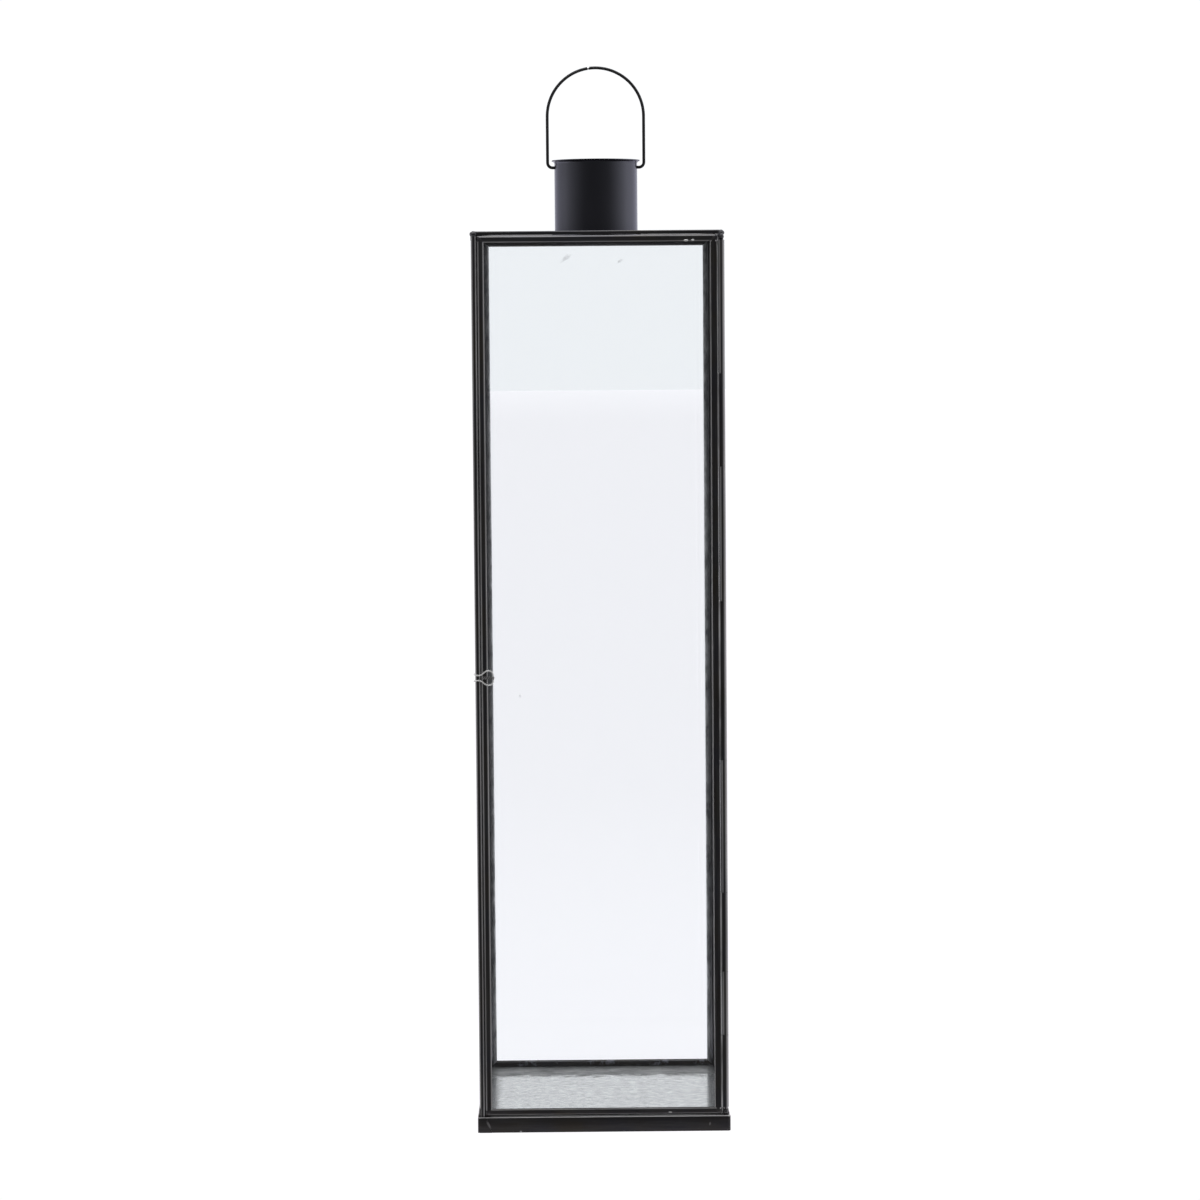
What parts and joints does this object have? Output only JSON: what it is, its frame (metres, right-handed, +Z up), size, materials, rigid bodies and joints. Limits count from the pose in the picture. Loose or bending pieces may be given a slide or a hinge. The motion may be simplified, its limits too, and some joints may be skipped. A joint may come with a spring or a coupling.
{
  "type": "candle lantern",
  "caption": "Tall square glass candle lantern with a dark folded-metal frame, a hinged glazed door with a wire latch, a round chimney, a swinging wire bail and a shallow base.",
  "frame": {"origin": "middle of the base's underside", "axes": "+Z up, -Y out through the door, +X towards the hinge side"},
  "size_m": [0.2008, 0.2008, 0.8448],
  "materials": {
    "blackened_sheet": "antique blackened sheet, satin with worn edges",
    "base_black": "matt black paint on sheet",
    "chimney_black": "smooth satin black paint",
    "bail_wire": "satin black wire",
    "bright_wire": "bright drawn wire",
    "bare_zinc": "bare zinc sheet with fine drawn streaks",
    "clear_glass": "clear polished window glass"
  },
  "bodies": {
    "lantern_body": {"base_tray": "base_black", "floor_plate": "bare_zinc", "roof_plate": "blackened_sheet", "chimney_tube": "chimney_black", "left_front_post": "blackened_sheet", "left_rear_post": "blackened_sheet", "left_top_rail": "blackened_sheet", "left_bottom_rail": "blackened_sheet", "left_glass": "clear_glass", "right_front_post": "blackened_sheet", "right_rear_post": "blackened_sheet", "right_top_rail": "blackened_sheet", "right_bottom_rail": "blackened_sheet", "right_glass": "clear_glass", "back_left_stile": "blackened_sheet", "back_right_stile": "blackened_sheet", "back_top_rail": "blackened_sheet", "back_bottom_rail": "blackened_sheet", "back_glass": "clear_glass", "hinge_post_leaf": "blackened_sheet", "hinge_pin": "blackened_sheet", "door_stop": "blackened_sheet"},
    "door": {"door_left_stile": "blackened_sheet", "door_right_stile": "blackened_sheet", "door_top_rail": "blackened_sheet", "door_bottom_rail": "blackened_sheet", "door_glass": "clear_glass", "hinge_door_leaf": "blackened_sheet", "latch_strap": "blackened_sheet"},
    "latch": {"latch_loop": "bright_wire"},
    "bail": {"bail_handle": "bail_wire"}
  },
  "joints": [
    {"name": "door_hinge", "type": "hinge", "parent": "lantern_body", "child": "door", "pos_m": [0.0965, -0.0965, 0.3604], "axis": [0, 0, 1], "range_deg": [0, 180]},
    {"name": "latch_swing", "type": "hinge", "parent": "door", "child": "latch", "pos_m": [-0.0843, -0.09945, 0.3621], "axis": [0, 0, 1], "range_deg": [0, 170]},
    {"name": "bail_swing", "type": "hinge", "parent": "lantern_body", "child": "bail", "pos_m": [0, 0, 0.7641], "axis": [1, 0, 0], "range_deg": [-129, 129]}
  ]
}
